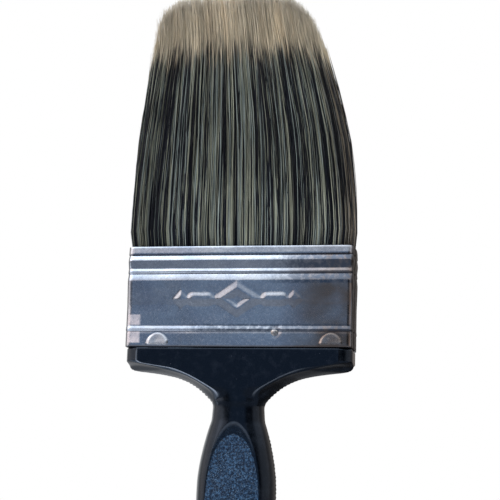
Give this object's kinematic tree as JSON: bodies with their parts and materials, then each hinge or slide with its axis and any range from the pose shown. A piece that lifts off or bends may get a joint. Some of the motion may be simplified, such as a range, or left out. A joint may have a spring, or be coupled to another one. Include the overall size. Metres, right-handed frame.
{
  "type": "flat paint brush",
  "caption": "Flat wall paint brush with a moulded black handle, beaded tinplate ferrule and a flexing head of tapered two-tone synthetic filaments.",
  "frame": {"origin": "centre of the hanging hole, on the brush's middle plane", "axes": "+Z runs from the hanging hole to the filament tips, +X across the brush's width, and the front face with the embossed mark looks towards -Y, as pictured"},
  "size_m": [0.076, 0.0172, 0.257],
  "materials": {
    "handle_plastic": "satin moulded black",
    "tinplate": "rolled bright tinplate with scuffs",
    "nail_steel": "bright",
    "resin": "cured",
    "plug_wood": "sawn",
    "filament": "tapered synthetic filaments, dark and olive, pale at the tips"
  },
  "bodies": {
    "brush_body": {"handle": "handle_plastic", "ferrule": "tinplate", "ferrule_nail_front": "nail_steel", "ferrule_nail_rear": "nail_steel", "resin_set": "resin", "spacer_plug_left": "plug_wood", "spacer_plug_right": "plug_wood", "root_bank_front": "filament", "root_bank_rear": "filament"},
    "bristle_head": {"filament_bank_front": "filament", "filament_bank_rear": "filament"}
  },
  "joints": [
    {"name": "bristle_flex", "type": "hinge", "parent": "brush_body", "child": "bristle_head", "pos_m": [0, 0, 0.156], "axis": [1, 0, 0], "range_deg": [-25, 25], "stiffness_Nm_per_rad": 0.6}
  ]
}
